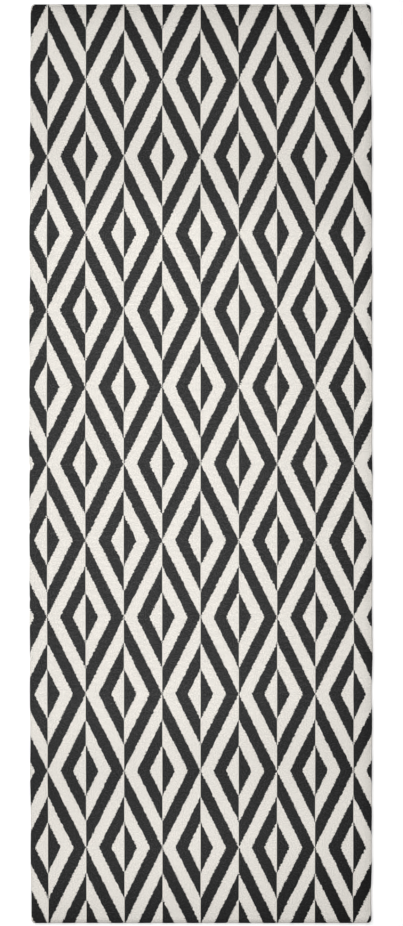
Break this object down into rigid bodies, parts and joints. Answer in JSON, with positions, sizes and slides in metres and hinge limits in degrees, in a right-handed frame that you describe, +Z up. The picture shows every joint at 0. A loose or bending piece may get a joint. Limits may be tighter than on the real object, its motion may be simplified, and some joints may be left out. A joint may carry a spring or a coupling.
{
  "type": "runner rug",
  "caption": "Long flat runner rug with a low pile printed in interlocking stepped diamonds, a turned-under stitched hem and a cloth backing.",
  "frame": {"origin": "the middle of the underside, on the floor", "axes": "+X across the rug to the right, +Y along it towards the head end, +Z up out of the pile"},
  "size_m": [0.908, 2.442, 0.0073],
  "materials": {
    "face_pile": "low matt pile, warm white with a charcoal print",
    "bond": "dull pale latex",
    "backing": "plain undyed weave",
    "thread": "dull charcoal thread",
    "label": "smooth woven tape"
  },
  "bodies": {
    "root": {"face_cloth": "face_pile", "bond_film": "bond", "backing_cloth": "backing", "needle_thread_left": "thread", "needle_thread_right": "thread", "needle_thread_head": "thread", "needle_thread_foot": "thread", "bobbin_thread_left": "thread", "bobbin_thread_right": "thread", "bobbin_thread_head": "thread", "bobbin_thread_foot": "thread", "care_label": "label"}
  },
  "joints": []
}
